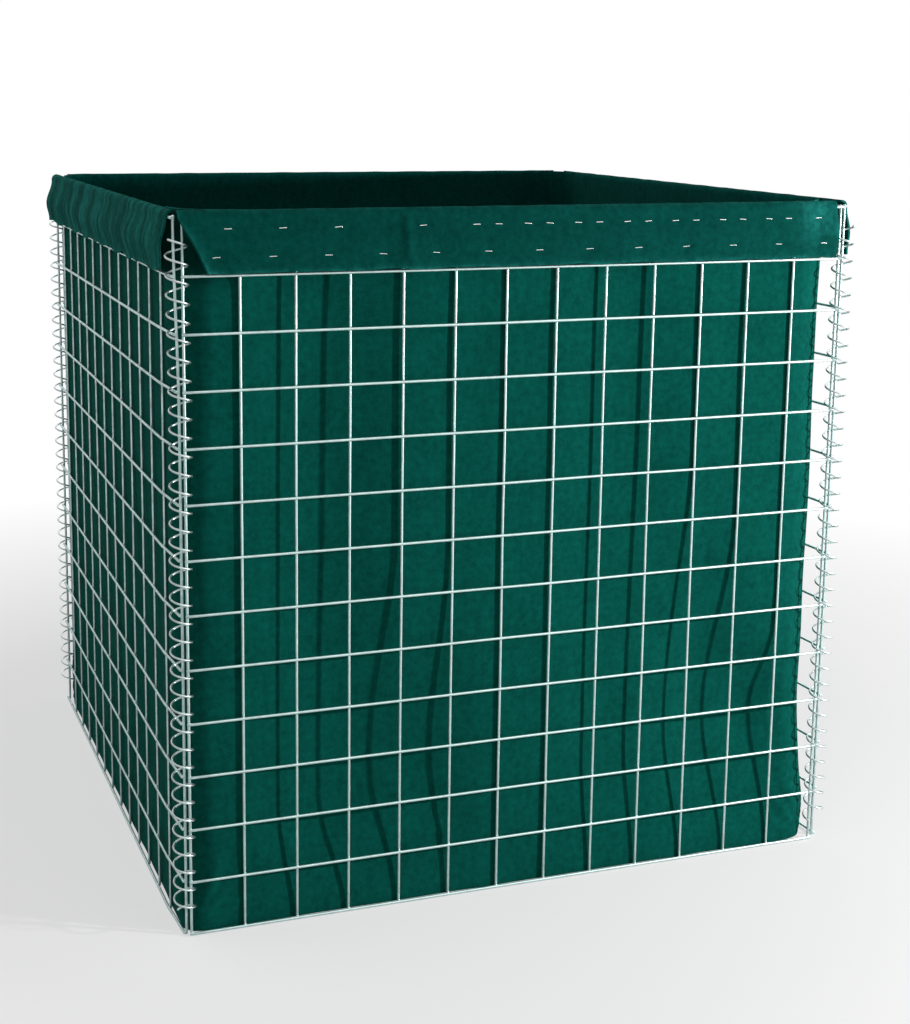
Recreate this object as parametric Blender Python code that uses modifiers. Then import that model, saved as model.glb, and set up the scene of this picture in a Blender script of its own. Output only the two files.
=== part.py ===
"""Square compost bin: four welded mesh panels laced at the corners by wire spirals,
with a felt liner that folds over the rim and is stapled down on the front.

Metres, +Z up. X runs along the front, the front faces -Y, and the origin is on the
ground at the middle of the plan. Every side is drawn once in its own side frame,
x along the side, -Y outwards, and then turned into place.
"""
import math

import bmesh
import bpy
from mathutils import Matrix, Vector

# Welded mesh
MESH_PITCH = 0.0762
CELLS_ALONG = 13
CELLS_UP = 13
MESH_WIRE = 0.004
WELD_SINK = 0.0004
WIRE_STUB = 0.003
WIRE_SIDES = 6
SHARP_ANGLE = math.radians(65.0)

# Corner hinges: where the edge wires lie from the axis that the panels fold about
HINGE_REACH = 0.0088
HINGE_OFFSET = 0.002
SIDES = ("front", "right", "back", "left")

# Spiral binders
SPIRAL_WIRE = 0.003
SPIRAL_CLEARANCE = 0.002
SPIRAL_TURNS_PER_CELL = 3
SPIRAL_DROP = 0.0105
SPIRAL_LOW_GAP = 0.030
SPIRAL_TOP_GAP = 0.027
SPIRAL_POINTS_PER_TURN = 7
CAP_WELD = 0.00001

# Felt liner
FELT = 0.003
LINER_INSET = 0.006
LINER_FLOOR_GAP = 0.002
RIM_CLEARANCE = 0.0005
RIM_ARC_STEPS = 10
CORNER_PIECE_REACH = 0.082
CORNER_RADIUS = 0.074
CORNER_ARC_STEPS = 8
CORNER_TOP_STAND = 0.006
SEAM_GAP = 0.0003

# Flap outside the rim
FLAP_HEM_RISE = 0.005
FLAP_BULGE = 0.007
FLAP_TOP_MARGIN = 0.002
SLANT_LOW_MARGIN = 0.031
ROLLED_LOW_MARGIN = 0.020
SQUARE_MARGIN = 0.008

# Staples on the front flap: crown along the rim, two legs into the felt
STAPLE_CROWN = 0.0114
STAPLE_WIRE = 0.0010
STAPLE_THICK = 0.0007
STAPLE_LEG = 0.0019
STAPLE_CLEARANCE = 0.0003
STAPLE_BAND = 0.014
STAPLE_UPPER_DROP = 0.0150
STAPLE_LOWER_DROP = 0.0510
STAPLE_TILT = math.radians(5.0)
TILT_STEP = 7.0
ROW_TILT_SHIFT = 2.0
LOWER_ROW_SHARE = 0.55
UPPER_SINGLE_CELLS = {0: 0.76, 1: 0.73, 2: 0.73, 4: 0.30, 12: 0.41}
UPPER_PAIR_CELLS = range(5, 12)
UPPER_PAIR_SHARES = (0.32, 0.75)

# Sizes that follow from the ones above
PANEL_SPAN = CELLS_ALONG * MESH_PITCH
PANEL_RISE = CELLS_UP * MESH_PITCH
HINGE_HALF = PANEL_SPAN / 2 + HINGE_REACH
PANEL_HALF = HINGE_HALF + HINGE_OFFSET
WIRE_RADIUS = MESH_WIRE / 2
CROSS_OUT = MESH_WIRE - WELD_SINK
MESH_FACE_OUT = CROSS_OUT + WIRE_RADIUS
LOW_WIRE_Z = WIRE_STUB
RIM_WIRE_Z = LOW_WIRE_Z + PANEL_RISE
SPIRAL_RADIUS = (math.hypot(HINGE_REACH, HINGE_OFFSET) + WIRE_RADIUS
                 + SPIRAL_CLEARANCE + SPIRAL_WIRE / 2)
SPIRAL_PITCH = MESH_PITCH / SPIRAL_TURNS_PER_CELL
WALL_OUT = -(LINER_INSET + FELT / 2)
FLAP_OUT = MESH_FACE_OUT + RIM_CLEARANCE + FELT / 2
RIM_ARC_OUT = (WALL_OUT + FLAP_OUT) / 2
RIM_ARC_RADIUS = (FLAP_OUT - WALL_OUT) / 2
FLAP_DROP = MESH_PITCH - FLAP_HEM_RISE

# How far each end of a flap stops short of its edge wire, at the rim and at the hem
SLANT_CUT = (FLAP_TOP_MARGIN, SLANT_LOW_MARGIN)
ROLLED_END = (FLAP_TOP_MARGIN, ROLLED_LOW_MARGIN)
SQUARE_CUT = (SQUARE_MARGIN, SQUARE_MARGIN)
FLAP_ENDS = {"front": (SLANT_CUT, SQUARE_CUT), "right": (SLANT_CUT, SQUARE_CUT),
             "back": (SLANT_CUT, SQUARE_CUT), "left": (ROLLED_END, SLANT_CUT)}

GALVANISED = ("galvanised_wire", (0.62, 0.64, 0.64), 0.38, 0.9)
SPIRAL_STEEL = ("spiral_wire", (0.66, 0.68, 0.68), 0.34, 0.9)
GREEN_FELT = ("green_felt", (0.004, 0.075, 0.055), 0.95, 0.0)
STAPLE_STEEL = ("staple_steel", (0.72, 0.74, 0.73), 0.30, 0.9)


def clear_scene():
    """Removes whatever the scene holds."""
    for obj in list(bpy.data.objects):
        bpy.data.objects.remove(obj, do_unlink=True)


def make_collection(name):
    """A new collection in the scene."""
    collection = bpy.data.collections.new(name)
    bpy.context.scene.collection.children.link(collection)
    return collection


def make_material(finish):
    """A Principled material from its name, colour, roughness and metallic value."""
    name, colour, roughness, metallic = finish
    material = bpy.data.materials.new(name)
    material.use_nodes = True
    shader = material.node_tree.nodes["Principled BSDF"]
    shader.inputs["Base Color"].default_value = (*colour, 1.0)
    shader.inputs["Roughness"].default_value = roughness
    shader.inputs["Metallic"].default_value = metallic
    return material


def mesh_from(bm, name):
    """Turns a bmesh into a mesh and frees it."""
    mesh = bpy.data.meshes.new(name)
    bm.to_mesh(mesh)
    bm.free()
    return mesh


def side_frame(side):
    """The turn that brings a side frame into the world: front, right, back, left."""
    return Matrix.Rotation(SIDES.index(side) * math.pi / 2, 4, "Z")


def corner_point(side):
    """The fold axis at a side's low end, on the ground."""
    return side_frame(side) @ Vector((-HINGE_HALF, -HINGE_HALF, 0.0))


def side_before(side):
    """The side that meets this one at its low end."""
    return SIDES[SIDES.index(side) - 1]


def corner_name(side):
    """The name of the corner at a side's low end, such as front_left."""
    pair = {side, side_before(side)}
    return "_".join(name for name in ("front", "back", "left", "right") if name in pair)


def add_wire(bm, middle, turn, length):
    """One straight wire with six flats and an edge towards the wires it crosses."""
    bmesh.ops.create_cone(bm, cap_ends=True, segments=WIRE_SIDES, radius1=WIRE_RADIUS,
                          radius2=WIRE_RADIUS, depth=length,
                          matrix=Matrix.Translation(middle) @ turn)


def upright_wires():
    """The panel's vertical wires, in the panel's own plane."""
    bm = bmesh.new()
    for number in range(CELLS_ALONG + 1):
        x = number * MESH_PITCH - PANEL_SPAN / 2
        middle = Vector((x, -PANEL_HALF, LOW_WIRE_Z + PANEL_RISE / 2))
        add_wire(bm, middle, Matrix.Identity(4), PANEL_RISE + 2 * WIRE_STUB)
    return mesh_from(bm, "upright_wires")


def cross_wires():
    """The panel's level wires, welded across the outside of the vertical ones."""
    bm = bmesh.new()
    level = Matrix.Rotation(math.pi / 2, 4, "Y")
    for number in range(CELLS_UP + 1):
        middle = Vector((0.0, -PANEL_HALF - CROSS_OUT, LOW_WIRE_Z + number * MESH_PITCH))
        add_wire(bm, middle, level, PANEL_SPAN + 2 * WIRE_STUB)
    return mesh_from(bm, "cross_wires")


def add_boolean(obj, operation, tool):
    """A Boolean that joins a tool object to obj, or cuts it away."""
    modifier = obj.modifiers.new(tool.name, "BOOLEAN")
    modifier.operation = operation
    modifier.solver = "EXACT"
    modifier.object = tool


def smooth_round(mesh):
    """Shades round pieces smooth between their sharp edges."""
    mesh.shade_smooth()
    mesh.set_sharp_from_angle(angle=SHARP_ANGLE)


def spiral_curve():
    """Left-handed coil about the corner at the side's low end, as an open curve.

    It passes the side's panel SPIRAL_DROP below each level wire, so that both
    panels' level wires stay between two turns wherever the corner is folded.
    """
    panel_turn = -math.asin((HINGE_OFFSET + CROSS_OUT) / SPIRAL_RADIUS)
    low = LOW_WIRE_Z + SPIRAL_LOW_GAP
    rise = RIM_WIRE_Z - SPIRAL_TOP_GAP - low
    steps = round(rise / SPIRAL_PITCH * SPIRAL_POINTS_PER_TURN)
    curve = bpy.data.curves.new("spiral", "CURVE")
    curve.dimensions = "3D"
    curve.bevel_depth = SPIRAL_WIRE / 2
    curve.bevel_resolution = 0
    curve.use_fill_caps = True
    spline = curve.splines.new("POLY")
    spline.points.add(steps)
    for number, point in enumerate(spline.points):
        z = low + rise * number / steps
        turns = (z - LOW_WIRE_Z + SPIRAL_DROP) / SPIRAL_PITCH
        angle = panel_turn - 2 * math.pi * turns
        x = -HINGE_HALF + SPIRAL_RADIUS * math.cos(angle)
        y = -HINGE_HALF + SPIRAL_RADIUS * math.sin(angle)
        point.co = (x, y, z, 1.0)
    return curve


def evaluated_mesh(obj):
    """A new mesh of an object as its modifiers or its curve leave it."""
    depsgraph = bpy.context.evaluated_depsgraph_get()
    return bpy.data.meshes.new_from_object(obj.evaluated_get(depsgraph))


def curve_mesh(curve, name):
    """The closed mesh of a curve, its caps welded to its sides."""
    source = bpy.data.objects.new(name, curve)
    bpy.context.scene.collection.objects.link(source)
    bm = bmesh.new()
    bm.from_mesh(evaluated_mesh(source))
    bmesh.ops.remove_doubles(bm, verts=bm.verts, dist=CAP_WELD)
    bpy.data.objects.remove(source, do_unlink=True)
    return mesh_from(bm, name)


def flap_point(drop):
    """Where the flap's middle layer lies at a drop below the rim wire: out, height."""
    bulge = FLAP_BULGE * math.sin(math.pi * drop / FLAP_DROP) ** 2
    return FLAP_OUT + bulge, RIM_WIRE_Z - drop


def flap_ends(side, drop):
    """How far the flap runs along its side, low end and high end, at a drop."""
    share = max(drop, 0.0) / FLAP_DROP
    low, high = [top + (hem - top) * share for top, hem in FLAP_ENDS[side]]
    return low - PANEL_SPAN / 2, PANEL_SPAN / 2 - high


def liner_rows(side):
    """The liner's section from the ground up the inside, over the rim and down outside.

    Each row is (out, height, low end, high end): where it lies from the plane of the
    vertical wires, and how far it runs along the side from the middle.
    """
    wall_end = HINGE_HALF - CORNER_PIECE_REACH
    rows = [(WALL_OUT, LINER_FLOOR_GAP, -wall_end, wall_end)]
    for number in range(RIM_ARC_STEPS + 1):
        angle = math.pi * (1 - number / RIM_ARC_STEPS)
        out = RIM_ARC_OUT + RIM_ARC_RADIUS * math.cos(angle)
        rise = RIM_ARC_RADIUS * math.sin(angle)
        inside = 2 * number < RIM_ARC_STEPS
        ends = (-wall_end, wall_end) if inside else flap_ends(side, -rise)
        rows.append((out, RIM_WIRE_Z + rise, *ends))
    upper, lower, band = STAPLE_UPPER_DROP, STAPLE_LOWER_DROP, STAPLE_BAND / 2
    for drop in (upper - band, upper + band, (upper + lower) / 2, lower - band, lower + band,
                 FLAP_DROP):
        rows.append((*flap_point(drop), *flap_ends(side, drop)))
    return rows


def sheet_between(rows, name):
    """An open strip of faces through rows of two points each."""
    bm = bmesh.new()
    pairs = [tuple(bm.verts.new(point) for point in row) for row in rows]
    for (low, high), (next_low, next_high) in zip(pairs, pairs[1:]):
        bm.faces.new((low, high, next_high, next_low))
    return mesh_from(bm, name)


def liner_sheet(side):
    """One side's felt: the wall inside the mesh and the flap outside the rim."""
    rows = [((low, -PANEL_HALF - out, z), (high, -PANEL_HALF - out, z))
            for out, z, low, high in liner_rows(side)]
    return sheet_between(rows, f"{side}_felt")


def corner_sheet():
    """The felt that rounds the corner between two walls."""
    wall_line = PANEL_HALF + WALL_OUT
    end = HINGE_HALF - CORNER_PIECE_REACH + SEAM_GAP
    centre = wall_line - CORNER_RADIUS
    plan = [(-end, -wall_line)]
    for number in range(CORNER_ARC_STEPS + 1):
        angle = math.pi * (1.5 - 0.5 * number / CORNER_ARC_STEPS)
        plan.append((-centre + CORNER_RADIUS * math.cos(angle),
                     -centre + CORNER_RADIUS * math.sin(angle)))
    plan.append((-wall_line, -end))
    top = RIM_WIRE_Z + CORNER_TOP_STAND
    return sheet_between([((x, y, LINER_FLOOR_GAP), (x, y, top)) for x, y in plan],
                         "liner_corner")


def thicken_felt(obj):
    """Gives a felt sheet its thickness, half to each side."""
    modifier = obj.modifiers.new("felt", "SOLIDIFY")
    modifier.thickness = FELT
    modifier.offset = 0.0
    modifier.use_even_offset = True


def staple_rows():
    """The two rows on the flap: name, drop below the rim wire, places in cells."""
    upper = [cell + share for cell, share in UPPER_SINGLE_CELLS.items()]
    upper += [cell + share for cell in UPPER_PAIR_CELLS for share in UPPER_PAIR_SHARES]
    lower = [cell + LOWER_ROW_SHARE for cell in range(CELLS_ALONG)]
    return (("upper", STAPLE_UPPER_DROP, sorted(upper)), ("lower", STAPLE_LOWER_DROP, lower))


def staple_places():
    """Names and seats of the staples: the upper row, then the lower row.

    A seat's frame has x along the crown, z out of the felt and its origin on the
    felt's outer face, in the middle of the flat band of its row. The staples are set
    by hand, so each is tilted a little, by a sine that runs along the row.
    """
    seats = []
    lift = Matrix.Translation((0.0, 0.0, FELT / 2))
    for order, (row, drop, shares) in enumerate(staple_rows()):
        top_out, top_z = flap_point(drop - STAPLE_BAND / 2)
        low_out, low_z = flap_point(drop + STAPLE_BAND / 2)
        lean = math.atan2(low_out - top_out, top_z - low_z)
        face = Matrix.Rotation(math.pi / 2 - lean, 4, "X")
        middle = Vector((0.0, -PANEL_HALF - (top_out + low_out) / 2, (top_z + low_z) / 2))
        for number, share in enumerate(shares):
            along = Vector((share * MESH_PITCH - PANEL_SPAN / 2, 0.0, 0.0))
            turn = STAPLE_TILT * math.sin(TILT_STEP * number + ROW_TILT_SHIFT * order)
            tilt = Matrix.Rotation(turn, 4, "Z")
            seat = Matrix.Translation(middle + along) @ face @ lift @ tilt
            seats.append((f"staple_{row}_{number + 1:02d}", seat))
    return seats


def staple_curve():
    """The staple's flat outline, crown and two legs, as deep as its wire is wide."""
    half, low = STAPLE_CROWN / 2, STAPLE_CLEARANCE
    inner = half - STAPLE_WIRE
    high = low + STAPLE_THICK
    outline = [(-half, high), (-half, -STAPLE_LEG), (-inner, -STAPLE_LEG), (-inner, low),
               (inner, low), (inner, -STAPLE_LEG), (half, -STAPLE_LEG), (half, high)]
    curve = bpy.data.curves.new("staple", "CURVE")
    curve.dimensions = "2D"
    curve.fill_mode = "BOTH"
    curve.extrude = STAPLE_WIRE / 2
    spline = curve.splines.new("POLY")
    spline.points.add(len(outline) - 1)
    for point, (x, y) in zip(spline.points, outline):
        point.co = (x, y, 0.0, 1.0)
    spline.use_cyclic_u = True
    return curve


def leg_holes():
    """Pockets in the front flap for the staples' legs, as one cutting mesh."""
    bm = bmesh.new()
    width = STAPLE_WIRE + 2 * STAPLE_CLEARANCE
    depth = STAPLE_LEG + STAPLE_CLEARANCE
    reach = (STAPLE_CROWN - STAPLE_WIRE) / 2
    for _, seat in staple_places():
        for side in (-1, 1):
            shift = Matrix.Translation((side * reach, 0.0, 0.0))
            size = Matrix.Diagonal((width, width, 2 * depth, 1.0))
            bmesh.ops.create_cube(bm, size=1.0, matrix=seat @ shift @ size)
    return mesh_from(bm, "leg_holes")


def panel_mesh():
    """One welded panel: both sets of wires joined where they cross."""
    uprights = bpy.data.objects.new("uprights", upright_wires())
    crosses = bpy.data.objects.new("crosses", cross_wires())
    for obj in (uprights, crosses):
        bpy.context.scene.collection.objects.link(obj)
    add_boolean(uprights, "UNION", crosses)
    mesh = evaluated_mesh(uprights)
    bpy.data.objects.remove(crosses, do_unlink=True)
    bpy.data.objects.remove(uprights, do_unlink=True)
    return mesh


class Bin:
    """The bin's objects, each hung on the pivot of the side that carries it."""

    def __init__(self):
        self.parts = make_collection("compost_bin")
        self.cutters = make_collection("cutters")
        self.pivots = {}

    def add_pivots(self):
        """One empty for each side, on the axis that it folds about.

        The back stands still, the left panel folds on it, the front on the left panel
        and the right panel on the front. The back right corner is only laced up.
        """
        for side in ("back", "left", "front", "right"):
            pivot = bpy.data.objects.new(f"{side}_pivot", None)
            pivot.empty_display_size = MESH_PITCH
            pivot.location = corner_point(side)
            carrier = side_before(side)
            if carrier in self.pivots:
                pivot.parent = self.pivots[carrier]
                pivot.location -= corner_point(carrier)
            self.parts.objects.link(pivot)
            self.pivots[side] = pivot

    def add_part(self, name, data, material, side, world):
        """A piece that the given side carries, placed in the world."""
        obj = bpy.data.objects.new(name, data)
        if not data.materials:
            data.materials.append(material)
        self.parts.objects.link(obj)
        obj.parent = self.pivots[side]
        obj.matrix_basis = Matrix.Translation(-corner_point(side)) @ world
        return obj

    def add_panels(self):
        """A welded mesh panel on every side."""
        mesh = panel_mesh()
        smooth_round(mesh)
        material = make_material(GALVANISED)
        for side in SIDES:
            self.add_part(f"{side}_mesh_panel", mesh, material, side, side_frame(side))

    def add_spirals(self):
        """A spiral binder at every corner, carried by the side before the corner."""
        mesh = curve_mesh(spiral_curve(), "spiral")
        material = make_material(SPIRAL_STEEL)
        for side in SIDES:
            self.add_part(f"{corner_name(side)}_spiral", mesh, material, side_before(side),
                          side_frame(side))

    def add_liner(self):
        """The felt: a wall with its flap on every side, and a rounded piece per corner."""
        felt = make_material(GREEN_FELT)
        corner = corner_sheet()
        for side in SIDES:
            liner = self.add_part(f"{side}_liner", liner_sheet(side), felt, side,
                                  side_frame(side))
            thicken_felt(liner)
            if side == "front":
                add_boolean(liner, "DIFFERENCE", self.add_leg_holes())
            piece = self.add_part(f"{corner_name(side)}_liner_corner", corner, felt,
                                  side_before(side), side_frame(side))
            thicken_felt(piece)

    def add_leg_holes(self):
        """The hidden cutter for the staples' legs."""
        cutter = bpy.data.objects.new("leg_holes", leg_holes())
        cutter.hide_render = True
        cutter.display_type = "WIRE"
        self.cutters.objects.link(cutter)
        return cutter

    def add_staples(self):
        """The staples along the front flap, in an upper and a lower row."""
        curve = staple_curve()
        material = make_material(STAPLE_STEEL)
        stand = Matrix.Rotation(math.pi / 2, 4, "X")
        for name, seat in staple_places():
            self.add_part(name, curve, material, "front", seat @ stand)

    def build(self):
        """Makes every piece."""
        self.add_pivots()
        self.add_panels()
        self.add_spirals()
        self.add_liner()
        self.add_staples()


clear_scene()
Bin().build()
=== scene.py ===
"""Dresses the compost bin: round welded wires, wire spirals, hanging felt and staples.

Metres, +Z up, the front faces -Y. Every side is worked out once in its own side frame,
x along the side and -Y outwards, and is then turned by quarter turns into its place.
"""

import logging
import math
from dataclasses import dataclass, field
from enum import Enum

import bpy
import numpy as np
from bpy.types import Material, Node, NodeSocket, NodeTree, Object
from mathutils import Matrix, Vector


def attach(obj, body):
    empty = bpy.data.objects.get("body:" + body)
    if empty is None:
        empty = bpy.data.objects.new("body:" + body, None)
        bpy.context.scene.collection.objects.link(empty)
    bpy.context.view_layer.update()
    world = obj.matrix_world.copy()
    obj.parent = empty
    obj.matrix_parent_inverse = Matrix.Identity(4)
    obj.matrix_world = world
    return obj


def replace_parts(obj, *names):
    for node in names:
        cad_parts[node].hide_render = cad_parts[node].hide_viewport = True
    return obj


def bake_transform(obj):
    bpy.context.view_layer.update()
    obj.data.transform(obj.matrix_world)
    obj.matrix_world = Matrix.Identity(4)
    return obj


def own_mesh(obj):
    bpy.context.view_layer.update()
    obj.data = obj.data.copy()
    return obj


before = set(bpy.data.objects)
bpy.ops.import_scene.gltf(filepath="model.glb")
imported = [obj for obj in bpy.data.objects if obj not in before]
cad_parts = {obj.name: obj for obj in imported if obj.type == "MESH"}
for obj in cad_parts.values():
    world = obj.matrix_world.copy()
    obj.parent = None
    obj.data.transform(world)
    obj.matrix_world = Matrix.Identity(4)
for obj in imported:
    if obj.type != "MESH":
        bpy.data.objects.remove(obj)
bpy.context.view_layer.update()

Array = np.ndarray
Span = tuple[float, float]
Triple = tuple[float, float, float]
Steps = tuple[float, ...]
Layer = tuple[Array, Array, Array]
Feeds = dict[str | int, NodeSocket | float | Steps]
log = logging.getLogger("compost_bin")


class Side(Enum):
    """The sides, by their quarter turns from the front, anticlockwise from above."""

    FRONT = 0
    RIGHT = 1
    BACK = 2
    LEFT = 3

    @property
    def label(self) -> str:
        """The side's name, which is also the name of the body that carries it."""
        return self.name.lower()

    @property
    def before(self) -> "Side":
        """The side whose high end meets this side's low end."""
        return Side((self.value - 1) % 4)

    @property
    def corner(self) -> str:
        """The name of the corner at this side's low end."""
        return ("front_left", "front_right", "back_right", "back_left")[self.value]

    def turned(self, points: Array | Steps) -> Array:
        """Points of the side frame, turned about Z by the side's quarter turns.

        Args:
            points: any number of points, three numbers each.

        Returns:
            The same points in the bin's own frame.
        """
        cosine, sine = ((1, 0), (0, 1), (-1, 0), (0, -1))[self.value]
        x, y, z = np.moveaxis(np.asarray(points, float), -1, 0)
        return np.stack([x * cosine - y * sine, x * sine + y * cosine, z], -1)


class Slot(Enum):
    """The record's material slots."""

    PANEL = "galvanised_wire"
    SPIRAL = "spiral_wire"
    FELT = "green_felt"
    STAPLE = "staple_steel"


@dataclass(frozen=True)
class Mesh:
    """The welded mesh that every side shares, in the sizes of the solids."""

    pitch: float = 0.0762
    cells: int = 13
    wire: float = 0.004
    sink: float = 0.0004
    stub: float = 0.003
    hinge_reach: float = 0.0088
    hinge_offset: float = 0.002

    @property
    def span(self) -> float:
        """From the first upright to the last."""
        return self.cells * self.pitch

    @property
    def half(self) -> float:
        """From a side's middle to its outer uprights."""
        return self.span / 2

    @property
    def hinge(self) -> float:
        """How far out the fold axes stand."""
        return self.half + self.hinge_reach

    @property
    def plane(self) -> float:
        """How far out the uprights stand."""
        return self.hinge + self.hinge_offset

    @property
    def rim(self) -> float:
        """The height of the rim wire."""
        return self.stub + self.span

    @property
    def level_out(self) -> float:
        """How far the level wires lie outside the uprights."""
        return self.wire - self.sink

    def along(self, cell: Array | float) -> Array | float:
        """Where a place counted in cells from a side's low end lies along the side."""
        return cell * self.pitch - self.half


MESH = Mesh()
WHITE = (1.0, 1.0, 1.0, 1.0)
FULL = (0.0, 1.0)
BLUNTING = 0.45
FUZZ_WIDTH = 0.0025
MIDDLE_PATCHES = (0.35, 0.7)
SHARP_ANGLE = math.radians(52)
SINE_LENGTHS = np.array([1.0, 0.71, 0.53, 0.37])
SINE_HEIGHTS = np.array([0.4, 0.28, 0.2, 0.12])
SINE_PHASES = np.array([1.0, 2.3, 4.1, 7.7])


def eased(value: Array, low: Array | float, high: Array | float) -> Array:
    """A rise from 0 at low to 1 at high, either way round: 3 t squared - 2 t cubed."""
    share = np.clip((value - low) / (high - low), 0.0, 1.0)
    return share * share * (3.0 - 2.0 * share)


def bell(*away: Array) -> Array:
    """A bell: e to the power of minus the sum of the squared distances."""
    return np.exp(-sum(part ** 2 for part in away))


def ripple(along: Array, length: float, seed: Array | float) -> Array:
    """Irregular waves between about -1 and 1: a sum of four sines.

    Args:
        along: the distance along which the waves run.
        length: the longest sine's length; the others are shorter and lower.
        seed: any number, whose multiples are the sines' phases.

    Returns:
        The waves' height at each place.
    """
    phases = np.asarray(seed)[..., None] * SINE_PHASES
    turns = np.asarray(along)[..., None] / (length * SINE_LENGTHS)
    return (SINE_HEIGHTS * np.sin(2 * np.pi * turns + phases)).sum(-1)


def swung(about: Span, wave: Array | float) -> Array | float:
    """Waves round a middle: the first number plus the second one times the wave."""
    return about[0] + about[1] * wave


def raised(wave: Array) -> Array:
    """Waves between -1 and 1, brought between 0 and 1."""
    return swung((0.5, 0.5), wave)


def stations(low: float, high: float, spacing: float, ends: Steps) -> Array:
    """Places from low to high: fine ones set in from both ends, and even ones between.

    Args:
        low: the first place.
        high: the last place.
        spacing: about how far the even ones are apart.
        ends: how far in from an end each fine one is, starting with 0.

    Returns:
        The places in rising order.
    """
    fine = np.array(ends)
    count = max(2, round((high - low - 2 * fine[-1]) / spacing) + 1)
    inner = np.linspace(low + fine[-1], high - fine[-1], count)
    return np.concatenate([low + fine[:-1], inner, (high - fine[:-1])[::-1]])


@dataclass
class Skin:
    """A closed surface as arrays, with what the felt's finish reads at each point."""

    points: Array
    quads: Array
    fans: Array = field(default_factory=lambda: np.zeros((0, 3), int))
    lay: Array | None = None
    # Share of fuzzy fibres and painted highlight at each point.
    pale_fuzz_and_highlight: Array | None = None
    inner: Array | None = None

    @classmethod
    def joined(cls, skins: list["Skin"]) -> "Skin":
        """Several surfaces as one, their faces numbered one after the other.

        Args:
            skins: the surfaces, which carry no lay, no fuzzy edges and no painted highlights.

        Returns:
            One surface with all their points and faces.
        """
        starts = np.cumsum([0] + [len(skin.points) for skin in skins[:-1]])
        return cls(np.concatenate([skin.points for skin in skins]),
                   np.concatenate([skin.quads + at for skin, at in zip(skins, starts)]),
                   np.concatenate([skin.fans + at for skin, at in zip(skins, starts)]))

    def piece(self, name: str, finish: Material, slot: Slot) -> Object:
        """Makes the surface an object of the scene.

        Args:
            name: the piece's name.
            finish: its material.
            slot: the record's material slot; not used.

        Returns:
            The new object, at the origin, its place in its mesh.
        """
        corners = np.concatenate([self.quads.ravel(), self.fans.ravel()]).astype(np.int32)
        sizes = np.repeat([4, 3], [len(self.quads), len(self.fans)])
        mesh = bpy.data.meshes.new(name)
        mesh.vertices.add(len(self.points))
        mesh.vertices.foreach_set("co", self.points.astype(np.float32).ravel())
        mesh.loops.add(len(corners))
        mesh.loops.foreach_set("vertex_index", corners)
        mesh.polygons.add(len(sizes))
        mesh.polygons.foreach_set("loop_start", (np.cumsum(sizes) - sizes).astype(np.int32))
        mesh.update(calc_edges=True)
        mesh.shade_smooth()
        mesh.set_sharp_from_angle(angle=SHARP_ANGLE)
        if self.lay is not None:
            uv = mesh.uv_layers.new(name="felt_lay").uv
            uv.foreach_set("vector", self.lay[corners].astype(np.float32).ravel())
        for mark, values in (("pale_fuzz_and_highlight", self.pale_fuzz_and_highlight), ("inner", self.inner)):
            if values is not None:
                data = mesh.attributes.new(mark, "FLOAT", "POINT").data
                data.foreach_set("value", values.astype(np.float32))
        mesh.materials.append(finish)
        made = bpy.data.objects.new(name, mesh)
        bpy.context.scene.collection.objects.link(made)
        log.info("%s: %d points, %d faces", name, len(self.points), len(sizes))
        return made


def mounted(made: Object, body: Side, solid: str) -> Object:
    """A piece, now riding on a side's body and standing for a solid."""
    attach(made, body.label)
    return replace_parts(made, solid)


def carried_round(path: Array, across: Array | Steps, above: Array | Steps, radius: Array,
                  sides: int, tips: Array | None = None) -> Skin:
    """A round section carried along paths.

    A point of the skin is the path's point plus radius times (cos a times across + sin a
    times above), where a goes once round in equal steps. A fan of faces closes each end.

    Args:
        path: the paths' points: wires, steps, three numbers.
        across: one direction square to the path, for each point or for all of them.
        above: the other one, so that across x above runs along the path.
        radius: the section's radius at each step.
        sides: how many steps the section has.
        tips: each path's first and last point where they aren't on the path itself.

    Returns:
        The closed skins of all the wires.
    """
    wires, steps = path.shape[:2]
    turn = 2 * np.pi * np.arange(sides) / sides
    across, above = (np.broadcast_to(way, path.shape)[..., None, :] for way in (across, above))
    ring = np.cos(turn)[:, None] * across + np.sin(turn)[:, None] * above
    body = path[:, :, None, :] + np.asarray(radius)[..., None, None] * ring
    tips = path[:, [0, -1]] if tips is None else tips
    points = np.concatenate([body.reshape(wires, -1, 3), tips], 1).reshape(-1, 3)
    first = np.arange(wires)[:, None, None] * (steps * sides + 2)
    index = first + np.arange(steps)[:, None] * sides + np.arange(sides)
    beside = np.roll(index, -1, axis=2)
    quads = np.stack([index[:, :-1], beside[:, :-1], beside[:, 1:], index[:, 1:]], -1)
    pole = np.broadcast_to(first[:, 0] + steps * sides, index[:, 0].shape)
    fans = np.stack([np.stack([pole, beside[:, 0], index[:, 0]], -1),
                     np.stack([pole + 1, index[:, -1], beside[:, -1]], -1)])
    return Skin(points, quads.reshape(-1, 4), fans.reshape(-1, 3))


def headings(path: Array, *places: Array) -> Array:
    """The direction of a path at each of its points: its gradient, one unit long."""
    onward = np.gradient(path, *places, axis=0)
    return onward / np.linalg.norm(onward, axis=-1, keepdims=True)


def blunted(distance: Array, radius: float, edge: float) -> Array:
    """Radius times 1 - BLUNTING (1 - t) squared: t is 0 at a cut end, 1 past its edge."""
    near = np.minimum(distance - distance[0], distance[-1] - distance)
    return radius * (1 - BLUNTING * (1 - np.clip(near / edge, 0, 1)) ** 2)


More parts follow.
